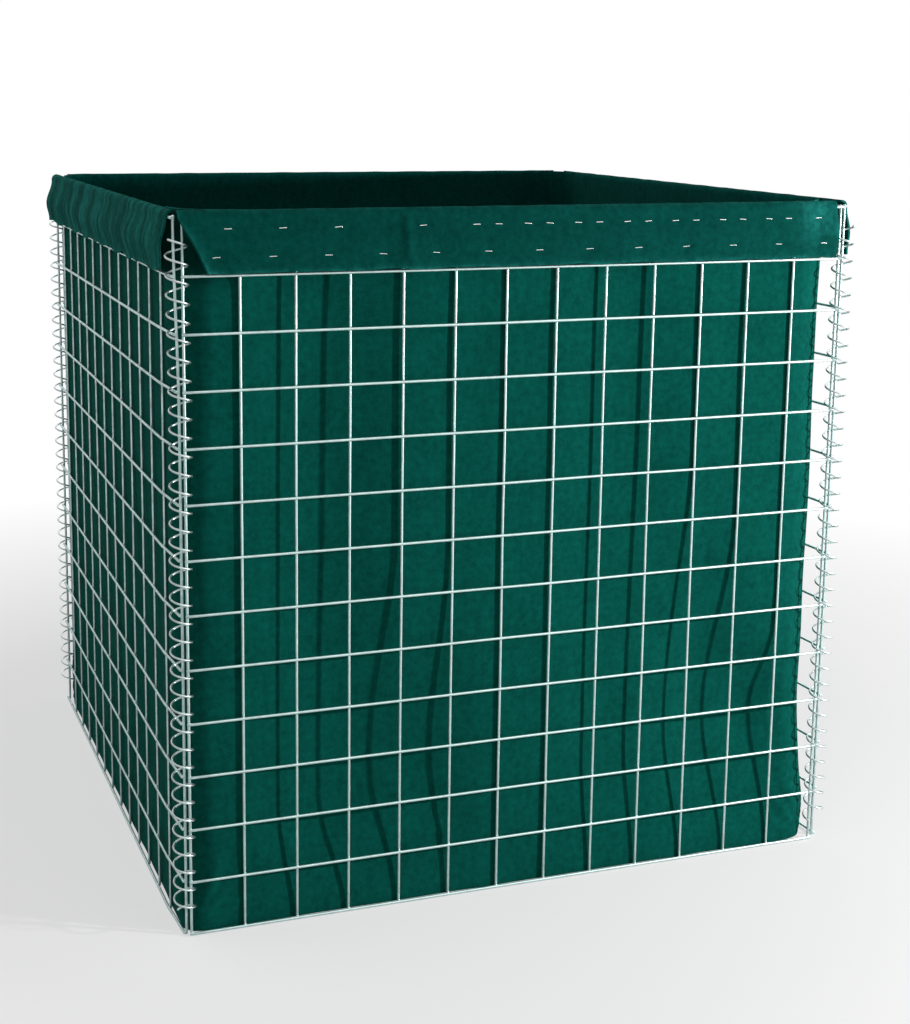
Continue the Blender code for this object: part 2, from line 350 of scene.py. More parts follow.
@dataclass
class MeshPanel:
    """One side's welded panel: uprights, level wires outside them, and the weld beads."""

    side: Side
    lean: float = 0.0
    spread: float = 0.0
    reach: float = 0.0
    round_sides: int = 12
    spacing: float = 0.0381
    blunt: Steps = (0.0, 0.0003, 0.0009)
    sway: float = 0.0005
    sway_length: float = 0.6
    bow: float = 0.0006
    bow_length: float = 0.8
    bow_slant: float = 0.6
    bow_seed: float = 3.0
    sway_seed: float = 1.7
    lean_cells: Span = (1.1, 3.5)
    reach_cells: float = 0.85
    bead_width: float = 0.0029
    bead_height: float = 0.0015
    bead_rings: Steps = (38.0, 75.0, 105.0, 142.0)
    bead_sides: int = 8

    def bowed(self, along: Array, height: Array) -> Array:
        """How far the panel bows inwards.

        A ripple that dies out towards all four edges, over the last cell before the high
        end a smooth turn inwards by the lean, which fades towards the rim, and over the
        first cell one outwards by the spread.

        Args:
            along: places along the side.
            height: heights.

        Returns:
            The bow at each place.
        """
        hold = np.sin(np.pi * np.clip(along / MESH.span + 0.5, 0, 1))
        hold = hold * np.sin(np.pi * np.clip(height / MESH.rim, 0, 1))
        seed = self.bow_seed + self.side.value
        wave = self.bow * hold * ripple(along + self.bow_slant * height, self.bow_length, seed)
        wide, high = (cells * MESH.pitch for cells in self.lean_cells)
        last = eased(along, MESH.half - wide, MESH.half)
        lean = self.lean * (1 - eased(height, MESH.rim - high, MESH.rim))
        first = eased(along, MESH.pitch - MESH.half, -MESH.half)
        return wave + last * lean - self.spread * first

    def swayed(self, run: Array, number: Array) -> Array:
        """How far a wire strays sideways: a ripple that its ends and the edge wires don't have.

        Args:
            run: the distance along the wire, 0 at the middle.
            number: which wire it is, counted from 0.

        Returns:
            The stray at each place.
        """
        hold = np.cos(np.pi * np.clip(run / MESH.span, -0.5, 0.5))
        hold = hold * np.sin(np.pi * number / MESH.cells)
        seed = self.sway_seed * number + self.side.value
        return self.sway * hold * ripple(run, self.sway_length, seed)

    def wires(self, path: Array, run: Array, across: Triple, above: Triple) -> Skin:
        """The skins round wires with cut ends, from their paths and the distance along them."""
        radius = blunted(run, MESH.wire / 2, self.blunt[-1])
        return carried_round(path, across, above, radius, self.round_sides)

    def uprights(self) -> Skin:
        """The vertical wires, from the ground to their stubs over the rim wire.

        A path's point is the wire's cell plus the sway, and the plane less the bow.

        Returns:
            Their skins.
        """
        z = stations(0.0, MESH.rim + MESH.stub, self.spacing, self.blunt)
        number, height = np.meshgrid(np.arange(MESH.cells + 1), z, indexing="ij")
        x = MESH.along(number) + self.swayed(height - MESH.rim / 2, number)
        path = np.stack([x, -MESH.plane + self.bowed(x, height), height], -1)
        return self.wires(path, z, (1.0, 0.0, 0.0), (0.0, 1.0, 0.0))

    def levels(self) -> Skin:
        """The level wires, welded across the uprights' outer faces.

        A path's point is level_out outside the uprights' plane, less the bow, and the
        wire's cell plus the sway.

        Returns:
            Their skins.
        """
        end = MESH.half + MESH.stub
        x = stations(-end, end, self.spacing, self.blunt)
        number, along = np.meshgrid(np.arange(MESH.cells + 1), x, indexing="ij")
        z = MESH.stub + number * MESH.pitch + self.swayed(along, number)
        path = np.stack([along, -MESH.plane - MESH.level_out + self.bowed(along, z), z], -1)
        return self.wires(path, x, (0.0, 1.0, 0.0), (0.0, 0.0, 1.0))

    def welds(self) -> Skin:
        """An egg-shaped bead of weld at each crossing, between the two wires.

        A bead's point is its middle plus its half sizes times (sin b cos a, cos b,
        sin b sin a), where a goes round and b from pole to pole.

        Returns:
            The beads' skins.
        """
        column, row = np.meshgrid(np.arange(MESH.cells + 1), np.arange(MESH.cells + 1))
        flat_x, flat_z = MESH.along(column), MESH.stub + row * MESH.pitch
        x = flat_x + self.swayed(flat_z - MESH.rim / 2, column)
        z = flat_z + self.swayed(flat_x, row)
        y = -MESH.plane - MESH.level_out / 2 + self.bowed(x, z)
        middle = np.stack([x, y, z], -1).reshape(-1, 1, 3)
        ring = np.radians(self.bead_rings)
        lift = np.array([0.0, self.bead_height, 0.0])
        tips = np.concatenate([middle - lift, middle + lift], 1)
        return carried_round(middle - np.cos(ring)[:, None] * lift, (0.0, 0.0, self.bead_width),
                             (self.bead_width, 0.0, 0.0), np.sin(ring), self.bead_sides, tips)

    def build(self, finish: Material) -> Object:
        """Makes the panel in its side's place, its last cell longer by the reach.

        Args:
            finish: the galvanised wire's material.

        Returns:
            The panel, riding on its side and standing for its solid.
        """
        skin = Skin.joined([self.uprights(), self.levels(), self.welds()])
        start, end = MESH.half - self.reach_cells * MESH.pitch, MESH.half - 2 * MESH.wire
        skin.points[:, 0] += self.reach * eased(skin.points[:, 0], start, end)
        skin.points = self.side.turned(skin.points)
        made = skin.piece(f"{self.side.label}_round_wire_panel", finish, Slot.PANEL)
        return mounted(made, self.side, f"{self.side.label}_mesh_panel")


@dataclass
class SpiralBinder:
    """The left-handed wire spiral that laces the corner at a side's low end."""

    side: Side
    slack: float = 0.0
    slack_height: float = 0.74
    slack_reach: float = 0.20
    wire: float = 0.003
    clearance: float = 0.002
    turns_per_cell: int = 3
    drop: float = 0.0105
    low_gap: float = 0.030
    top_gap: float = 0.027
    steps_per_turn: int = 24
    round_sides: int = 10
    unevenness: float = 0.0003
    uneven_length: float = 0.11
    uneven_seeds: Span = (2.0, 3.1)
    blunt: float = 0.0007

    @property
    def radius(self) -> float:
        """From the fold axis to the middle of the spiral's wire."""
        edge = math.hypot(MESH.hinge_reach, MESH.hinge_offset)
        return edge + MESH.wire / 2 + self.clearance + self.wire / 2

    def coil(self) -> Skin:
        """The spiral's skin.

        The path is the fold axis plus radius times (cos a, sin a), where a falls by a full
        turn for every third of a cell in height, and the radius ripples a little, as in
        wire that was wound by hand. The axis strays along the side by the slack, in a
        bell round one height.

        Returns:
            The skin, in its side's frame.
        """
        pitch = MESH.pitch / self.turns_per_cell
        low, high = MESH.stub + self.low_gap, MESH.rim - self.top_gap
        slant = math.hypot(1.0, 2 * math.pi * self.radius / pitch)
        z = stations(low, high, pitch / self.steps_per_turn, (0.0, self.blunt / slant))
        start = -math.asin((MESH.hinge_offset + MESH.level_out) / self.radius)
        angle = start - 2 * np.pi * (z - MESH.stub + self.drop) / pitch
        seed = swung(self.uneven_seeds, self.side.value)
        away = (self.radius + self.unevenness * ripple(z, self.uneven_length, seed))[:, None]
        outward = np.stack([np.cos(angle), np.sin(angle), np.zeros_like(angle)], -1)
        path = np.array([-MESH.hinge, -MESH.hinge, 0.0]) + away * outward
        path[:, 0] += self.slack * bell((z - self.slack_height) / self.slack_reach)
        path[:, 2] = z
        above = np.cross(headings(path, z), outward)
        radius = blunted((z - low) * slant, self.wire / 2, self.blunt)
        return carried_round(path[None], outward, above, radius, self.round_sides)

    def build(self, finish: Material) -> Object:
        """Makes the spiral in its corner.

        Args:
            finish: the spring wire's material.

        Returns:
            The spiral, riding on the side before the corner and standing for its solid.
        """
        skin = self.coil()
        skin.points = self.side.turned(skin.points)
        made = skin.piece(f"{self.side.corner}_wound_spiral", finish, Slot.SPIRAL)
        return mounted(made, self.side.before, f"{self.side.corner}_spiral")


@dataclass
class Staples:
    """The two rows of staples that hold the front flap, where the solids have them."""

    crown: float = 0.0114
    wide: float = 0.0010
    thick: float = 0.0007
    leg: float = 0.0019
    lift: float = 0.0003
    band: float = 0.014
    upper_drop: float = 0.0150
    lower_drop: float = 0.0510
    tilt: float = math.radians(5.0)
    tilt_step: float = 7.0
    row_tilt_shift: float = 2.0
    lower_share: float = 0.55
    single_cells: Steps = (0.76, 1.73, 2.73, 4.30, 12.41)
    pair_cells: range = range(5, 12)
    pair_shares: Span = (0.32, 0.75)
    bend: float = 0.0008
    bend_steps: int = 5
    tip: float = 0.0002
    tip_size: float = 0.6
    below_bend: float = 0.0012
    round_sides: int = 8
    dip: float = 0.00012
    sink: float = 0.0003
    seat_reach: Span = (0.014, 0.0085)

    def rows(self) -> tuple[tuple[str, float, Array], ...]:
        """The rows, whose staples stand at a cell plus a share of a cell.

        Returns:
            Each row's name, its drop below the rim wire, and its places along the side.
        """
        pairs = [cell + share for cell in self.pair_cells for share in self.pair_shares]
        upper = np.sort([*self.single_cells, *pairs])
        lower = np.arange(MESH.cells) + self.lower_share
        return (("upper", self.upper_drop, MESH.along(upper)),
                ("lower", self.lower_drop, MESH.along(lower)))

    def outline(self) -> Skin:
        """One staple in its seat's frame: x along the crown, z out of the felt.

        The path goes up a leg, round a quarter bend, along the crown, which dips towards
        its middle by a sine, round the other bend and down. The section is an oval, as
        wide and as thick as the staple's flattened wire.

        Returns:
            The staple's skin.
        """
        half, high = (self.crown - self.wide) / 2, self.lift + self.thick / 2
        turn = np.linspace(0, np.pi / 2, self.bend_steps)
        corner = np.stack([-half + self.bend * (1 - np.cos(turn)),
                           high - self.bend * (1 - np.sin(turn))], -1)
        rises = [-self.leg, self.tip - self.leg, -self.bend, high - self.below_bend]
        leg = np.stack([np.full(len(rises), -half), rises], -1)
        crown = np.linspace(self.bend - half, 0, self.bend_steps)[1:]
        left = np.concatenate([leg, corner, np.stack([crown, np.full(len(crown), high)], -1)])
        flat = np.concatenate([left, (left * [-1, 1])[-2::-1]])
        flat[:, 1] -= self.dip * np.cos(np.pi * np.clip(flat[:, 0] / half, -1, 1) / 2)
        path = np.stack([flat[:, 0], np.zeros(len(flat)), flat[:, 1]], -1)
        wide = np.array([0.0, self.wide / 2, 0.0])
        thick = np.cross(headings(path), wide) * (self.thick / self.wide)
        size = np.ones(len(path))
        size[[0, -1]] = self.tip_size
        return carried_round(path[None], wide, thick, size, self.round_sides)

    def build(self, liner: "Liner", finish: Material) -> list[Object]:
        """Makes every staple on the front flap.

        Args:
            liner: the front liner, which gives the flap's slope in each row.
            finish: the staple wire's material.

        Returns:
            The staples, riding on the front and each standing for its solid.
        """
        made = []
        skin = self.outline()
        for order, (row, drop, places) in enumerate(self.rows()):
            rise, fall = (liner.plain_out(drop + step * self.band / 2) for step in (-1, 1))
            slope = math.atan2(fall - rise, self.band)
            face = Matrix.Rotation(math.pi / 2 - slope, 4, "X")
            lift = Matrix.Translation((0, 0, liner.thick / 2 - self.sink))
            for number, along in enumerate(places):
                turn = self.tilt * math.sin(self.tilt_step * number + self.row_tilt_shift * order)
                seat = Matrix.Translation((along, -MESH.plane - (rise + fall) / 2, MESH.rim - drop))
                placed = np.array(seat @ face @ lift @ Matrix.Rotation(turn, 4, "Z"))
                points = skin.points @ placed[:3, :3].T + placed[:3, 3]
                name = f"staple_{row}_{number + 1:02d}"
                staple = Skin(points, skin.quads, skin.fans)
                staple = staple.piece(f"{name}_wire", finish, Slot.STAPLE)
                made.append(mounted(staple, Side.FRONT, name))
        return made


@dataclass(frozen=True)
class Hollow:
    """A place where the wall of felt hangs in from the mesh; places are counted in cells."""

    middle: float
    half_width: float
    deepest: float
    top: float
    slant: float
    depth: float

    def hang(self, along: Array, height: Array) -> Array:
        """How far in the felt hangs.

        Depth times the squared cosine of the distance from the middle, times a smooth rise
        from the ground to the deepest height and a smooth fall to the slanting top.

        Args:
            along: places along the side.
            height: heights.

        Returns:
            The hang at each place.
        """
        cell = (along + MESH.half) / MESH.pitch - self.middle
        up = height / MESH.pitch
        across = np.cos(np.pi / 2 * np.clip(cell / self.half_width, -1, 1)) ** 2
        top = np.maximum(self.top + self.slant * cell, self.deepest + 1.0)
        return self.depth * across * eased(up, 0, self.deepest) * (1 - eased(up, self.deepest, top))


@dataclass(frozen=True)
class Crease:
    """A soft ridge in the felt between two places, counted in cells along and up."""

    start: Span
    end: Span
    height: float
    width: float
    fade: float = 0.7

    def rise(self, along: Array, height: Array) -> Array:
        """The ridge's rise: a bell of the distance from its line, which fades to its ends.

        Args:
            along: places along the side.
            height: heights.

        Returns:
            The rise at each place.
        """
        start, end = (np.array([MESH.along(cell), up * MESH.pitch])
                      for cell, up in (self.start, self.end))
        line, away = end - start, np.stack(np.broadcast_arrays(along, height), -1) - start
        share = away @ line / (line @ line)
        off = (away[..., 0] * line[1] - away[..., 1] * line[0]) / np.linalg.norm(line)
        fade = np.sin(np.pi * np.clip(share, 0, 1)) ** self.fade
        return self.height * fade * bell(off / self.width)


@dataclass(frozen=True)
class Drape:
    """How one side's felt hangs and how its flap is cut.

    A cut is how far in from the outer upright the flap ends, at the rim and at the hem.
    The painted highlight, a pale patch that stands for light on the flap, is a place
    along the side, a share of the drop and a half width.
    """

    low_cut: Span
    high_cut: Span
    seed: float
    hollows: tuple[Hollow, ...]
    creases: tuple[Crease, ...] = ()
    pleat: float = 0.0030
    pleat_length: float = 0.085
    hem_wave: float = 0.0026
    flare: float = 0.0
    curl: float = 0.0
    slack_end: float = 0.0
    # Painted highlight: a pale patch where the flap bulges towards the light.
    painted_highlight: Triple | None = None
    # Strength of the highlights painted on the pleats' crests and on the rim's crest.
    crest_fuzz: float = 0.0


@dataclass
class Liner:
    """One side's felt as a single bent sheet: wall, roll over the rim and flap outside."""

    side: Side
    drape: Drape
    staples: Staples | None = None
    thick: float = 0.003
    inset: float = 0.006
    floor_gap: float = 0.002
    rim_clearance: float = 0.0005
    wall_end: float = 0.42225
    corner_radius: float = 0.074
    hem_rise: float = 0.005
    hem_over: float = 0.0018
    hem_length: float = 0.13
    bulge: float = 0.007
    press: float = 0.0034
    rim_fade: float = 0.06
    seam_fade: float = 0.09
    fold: float = 0.0022
    fold_length: float = 0.15
    fold_height: float = 0.7
    fold_swing: Span = (0.55, 0.45)
    fold_wander: Span = (0.02, 5.1)
    crest: float = 0.0008
    crest_length: float = 0.09
    pleat_lean: float = 0.006
    pleat_shares: Span = (0.6, 0.4)
    pleat_depth: Span = (0.02, 0.75)
    fine_share: float = 0.23
    fine_swing: Span = (0.8, 0.6)
    swell_length: float = 0.17
    swell_lean: float = 0.5
    broad_length: float = 0.41
    broad_swing: Span = (0.85, 0.3)
    broad_pleat: float = 0.6
    slack_reach: float = 0.03
    flare_reach: float = 0.085
    curl_reach: float = 0.0065
    curl_fall: float = 0.3
    # How far down the painted highlight patch reaches, as a share of the drop.
    painted_highlight_drop: float = 0.45
    # The rim crest's pale share: partly fuzzy fibres, partly a painted highlight.
    crest_wear: float = 0.5
    # Which part of each pleat gets its painted highlight.
    fuzz_swing: Span = (0.6, 1.2)
    outer_turn: float = 2.0
    opening: Span = (math.radians(125), math.radians(90))
    columns: int = 236
    wall_spacing: float = 0.010
    arc_steps: int = 16
    flap_steps: int = 24
    hem_edge: Steps = (0.0, 0.0005, 0.0013)
    side_edge: Steps = (0.0, 0.0006, 0.0015)

    @property
    def wall_out(self) -> float:
        """Where the wall's middle layer lies, outwards from the uprights."""
        return -(self.inset + self.thick / 2)

    @property
    def flap_out(self) -> float:
        """Where the flap's middle layer lies at the rim and at the hem."""
        return MESH.level_out + MESH.wire / 2 + self.rim_clearance + self.thick / 2

    @property
    def arc_radius(self) -> float:
        """The roll's radius over the rim."""
        return (self.flap_out - self.wall_out) / 2

    @property
    def drop(self) -> float:
        """The flap's drop below the rim wire in the solids."""
        return MESH.pitch - self.hem_rise

    @property
    def corner_run(self) -> float:
        """How much felt rounds a corner of the solids: two straights and a quarter circle."""
        straight = MESH.plane + self.wall_out - self.corner_radius - self.wall_end
        return 2 * straight + math.pi / 2 * self.corner_radius

    @property
    def quarter(self) -> float:
        """How much felt goes from one side's middle round to the next side's."""
        return 2 * self.wall_end + self.corner_run

    def below_rim(self, height: Array) -> Array:
        """1 on the wall, and a smooth fall to 0 over the last stretch below the rim."""
        return 1 - eased(height, MESH.rim - self.rim_fade, MESH.rim)

    def pressed(self, height: Array) -> Array:
        """How far the felt is pressed out against the mesh."""
        return self.press * self.below_rim(height)

    def hem(self, along: Array) -> Array:
        """How much further than the solid flap the felt hangs down: a little, in waves."""
        waves = ripple(along, self.hem_length, self.drape.seed + 2.0)
        return self.hem_over + self.drape.hem_wave * waves

    def plain_out(self, drop: Array) -> Array:
        """The solid flap's middle layer: flap_out plus bulge times a squared sine of the drop."""
        return self.flap_out + self.bulge * np.sin(np.pi * np.asarray(drop) / self.drop) ** 2

    def ends(self, fall: Array) -> tuple[Array, Array]:
        """Where the flap ends along the side: each cut's run from the rim to the hem.

        Args:
            fall: shares of the drop.

        Returns:
            The low end's and the high end's places.
        """
        cuts = self.drape.low_cut, self.drape.high_cut
        low, high = (rim + (hem - rim) * fall for rim, hem in cuts)
        return low - MESH.half, MESH.half - high

    def creased(self, along: Array, height: Array) -> Array:
        """The rise of all the side's creases."""
        return sum(crease.rise(along, height) for crease in self.drape.creases)

    def wall_hang(self, along: Array, height: Array) -> Array:
        """How far in the wall hangs from the solid's wall.

        The hollows, plus long soft folds less the creases, which die out at the seams,
        less the press against the mesh. It all dies out below the rim.

        Args:
            along: places along the side.
            height: heights.

        Returns:
            The hang, inwards, at each place.
        """
        seed, (far, fast) = self.drape.seed, self.fold_wander
        wander = far * np.sin(fast * height)
        folds = self.fold * raised(ripple(along + wander, self.fold_length, seed))
        folds = folds * swung(self.fold_swing, ripple(height, self.fold_height, seed + 1.0))
        hold = 1 - eased(np.abs(along), self.wall_end - self.seam_fade, self.wall_end)
        hang = (folds - self.creased(along, height)) * hold
        hang = hang + sum(hollow.hang(along, height) for hollow in self.drape.hollows)
        return hang * self.below_rim(height) - self.pressed(height)

    def pleats(self, along: Array, fall: Array) -> Array:
        """Irregular pleats down the flap, between about -1 and 1.

        Six tenths of a broad ripple and four tenths of a fine one, which swells and fades by
        a sine. Both lean a little on their way down.

        Args:
            along: places along the side.
            fall: shares of the drop.

        Returns:
            The pleats' height at each place.
        """
        length, seed = self.drape.pleat_length, self.drape.seed
        lean = along + self.pleat_lean * fall
        turns = self.swell_lean * fall + along / self.swell_length
        swell = swung(self.fine_swing, np.sin(2 * np.pi * turns + seed))
        fine = swell * ripple(lean, length * self.fine_share, seed + 2.9)
        broad_share, fine_share = self.pleat_shares
        return broad_share * ripple(lean, length, seed + 1.3) + fine_share * fine

    def flap_puff(self, along: Array, fall: Array) -> Array:
        """How far the flap stands off its straight drop, outwards.

        The solid flap's bulge, slack at the high end, pleats that deepen towards the hem,
        the creases, and the flare and the curl of the low end.

        Args:
            along: places along the side.
            fall: shares of the drop.

        Returns:
            The puff at each place.
        """
        drape, (low, high) = self.drape, self.ends(fall)
        broad = raised(ripple(along, self.broad_length, drape.seed + 4.0))
        puff = self.plain_out(fall * self.drop) - self.flap_out
        puff = puff * swung(self.broad_swing, broad)
        puff = puff * (1 - drape.slack_end * np.exp(-(high - along) / self.slack_reach))
        pleats = drape.pleat * (raised(self.pleats(along, fall)) + self.broad_pleat * broad)
        puff = puff + pleats * eased(fall, *self.pleat_depth)
        puff = puff + drape.flare * np.exp(-(along - low) / self.flare_reach) * fall ** 2
        curl = drape.curl * np.exp(-(along - low) / self.curl_reach)
        curl = curl * eased(fall, 0.0, self.curl_fall)
        return puff + curl + self.creased(along, MESH.rim - fall * self.drop)

    def stapled(self, along: Array, fall: Array, drop: Array) -> Array:
        """The flap's puff, drawn in to every staple's seat.

        Each seat adds a bell of the distance from it, as high as it lies below the flap.

        Args:
            along: places along the side.
            fall: shares of the drop.
            drop: heights below the rim wire.

        Returns:
            The puff at each place.
        """
        puff = self.flap_puff(along, fall)
        for _, seat_drop, places in self.staples.rows() if self.staples else ():
            band, (wide, high) = self.staples.band / 2, self.staples.seat_reach
            seat = (self.plain_out(seat_drop - band) + self.plain_out(seat_drop + band)) / 2
            share = seat_drop / (self.drop + self.hem(places))
            short = seat - self.flap_out - self.flap_puff(places, share)
            near = bell((along[..., None] - places) / wide, (drop - seat_drop)[..., None] / high)
            puff = puff + (near * short).sum(-1)
        return puff

    def rows(self) -> Layer:
        """The sheet's rows, up the wall, round the roll and down the flap, each as a column.

        Returns:
            Every row's turn round the roll, pi on the wall and 0 on the flap, its height
            before the flap's fall, and its share of the flap's drop.
        """
        wall = stations(self.floor_gap, MESH.rim, self.wall_spacing, self.hem_edge)[:-2]
        arc = np.linspace(np.pi, 0, self.arc_steps + 1)
        edge = tuple(step / self.drop for step in self.hem_edge)
        flap = stations(0.0, 1.0, 1 / self.flap_steps, edge)[3:]
        turn = np.concatenate([np.full(len(wall), np.pi), arc, np.zeros(len(flap))])
        height = np.concatenate([wall, np.full(len(arc) + len(flap), MESH.rim)])
        fall = np.concatenate([np.zeros(len(wall) + len(arc)), flap])
        return turn[:, None], height[:, None], fall[:, None]

    def wear(self, along: Array, turn: Array, fall: Array, inside: Array) -> Array:
        """How fuzzy the felt is, and where highlights are painted on it.

        Cut edges fade by a power of e, the crest by a power of the sine of the turn. The
        painted highlight patch is a bell, and the pleats' crests add painted highlights of their
        own.

        Args:
            along: places along the side.
            turn: the rows' turns.
            fall: shares of the drop.
            inside: how far in from the nearer end each place is.

        Returns:
            The share of fuzzy fibres and painted highlight, from 0 to 1.
        """
        outside, drape = turn < self.outer_turn, self.drape
        cut = np.where(outside, np.minimum(inside, (1 - fall) * self.drop), 1.0)
        # Cut edges are fuzzy fibres; the rim crest is partly fuzzy fibres and partly a painted
        # highlight.
        pale_fuzz_and_highlight = np.exp(-np.clip(cut, 0, 1) / FUZZ_WIDTH) + self.crest_wear * np.sin(turn) ** 4
        # Painted highlight: a pale patch where the flap bulges towards the light.
        if drape.painted_highlight:
            place, share, width = drape.painted_highlight
            pale_fuzz_and_highlight = pale_fuzz_and_highlight + bell((along - place) / width, (fall - share) / self.painted_highlight_drop) * outside
        # Painted highlights on the pleats' crests and on the rim's crest, in the pale fibres'
        # colour.
        crests = np.clip(swung(self.fuzz_swing, self.pleats(along, fall)), 0, 1) * outside
        return np.clip(pale_fuzz_and_highlight + drape.crest_fuzz * (crests + np.sin(turn) ** 8), 0, 1)

    def middle_layer(self) -> Layer:
        """The felt's middle layer.

        Out is the roll's centre plus arc_radius times cos turn, height is the row's height
        plus arc_radius times sin turn less the drop, and both are then moved along the
        turn's direction by the hang or the puff.

        Returns:
            The points by row and column, their lay in metres, and their share of fuzzy fibres
            and painted highlight.
        """
        turn, height, fall = self.rows()
        share = stations(0.0, 1.0, 1 / self.columns, self.side_edge)[None]
        opened = eased(turn, *self.opening)
        low, high = (seam + (cut - seam) * opened
                     for seam, cut in zip((-self.wall_end, self.wall_end), self.ends(fall)))
        along = low + (high - low) * share
        drop = fall * (self.drop + self.hem(along))
        out = (self.flap_out + self.wall_out) / 2 + self.arc_radius * np.cos(turn)
        z = height + self.arc_radius * np.sin(turn) - drop
        waves = raised(ripple(along, self.crest_length, self.drape.seed + 5.0))
        lift = self.crest * waves * np.sin(turn) ** 2
        lift = np.where(turn >= np.pi, self.wall_hang(along, z), lift)
        puff = self.stapled(along, np.broadcast_to(fall, along.shape), drop)
        lift = np.where(fall > 0, puff, lift)
        out, z = out + lift * np.cos(turn), z + lift * np.sin(turn)
        points = np.stack([along, -MESH.plane - out, z], -1)
        down = height + self.arc_radius * (np.pi - turn) + drop
        lay = np.stack([along + self.side.value * self.quarter, down], -1)
        return points, lay, self.wear(along, turn, fall, np.minimum(along - low, high - along))

    def build(self, finish: Material) -> Object:
        """Makes the side's felt.

        Args:
            finish: the felt's material.

        Returns:
            The sheet, riding on its side and standing for its solid.
        """
        points, lay, pale_fuzz_and_highlight = self.middle_layer()
        skin = felt_sheet(self.side.turned(points), lay, pale_fuzz_and_highlight, self.thick, (1.0, 0.0))
        made = skin.piece(f"{self.side.label}_hung_felt", finish, Slot.FELT)
        mounted(made, self.side, f"{self.side.label}_liner")
        return made


def felt_sheet(points: Array, lay: Array, pale_fuzz_and_highlight: Array, thick: float, inner: Span) -> Skin:
    """A closed sheet round a middle layer.

    Its layers lie half the thickness to each side of the middle, along the cross product
    of the steps from row to row and from column to column. A strip joins their borders.

    Args:
        points: the middle layer, rows by columns.
        lay: its map in metres.
        pale_fuzz_and_highlight: its share of fuzzy fibres and painted highlight.
        thick: the sheet's thickness.
        inner: for the layer on that product's side and the other one, 1 if it faces in.

    Returns:
        The closed skin.
    """
    rows, columns = points.shape[:2]
    normal = np.cross(np.gradient(points, axis=0), np.gradient(points, axis=1))
    normal /= np.linalg.norm(normal, axis=-1, keepdims=True)
    layers = np.stack([points + normal * thick / 2, points - normal * thick / 2])
    index = np.arange(rows * columns).reshape(rows, columns)
    upper = np.stack([index[:-1, :-1], index[1:, :-1], index[1:, 1:], index[:-1, 1:]], -1)
    border = np.concatenate([index[0, :-1], index[:-1, -1], index[-1, :0:-1], index[:0:-1, 0]])
    onward, under = np.roll(border, -1), rows * columns
    strip = np.stack([border, onward, onward + under, border + under], -1)
    faces = np.concatenate([upper.reshape(-1, 4), upper.reshape(-1, 4)[:, ::-1] + under, strip])
    return Skin(layers.reshape(-1, 3), faces, lay=np.tile(lay.reshape(-1, 2), (2, 1)),
                pale_fuzz_and_highlight=np.tile(pale_fuzz_and_highlight.ravel(), 2), inner=np.repeat(inner, rows * columns))


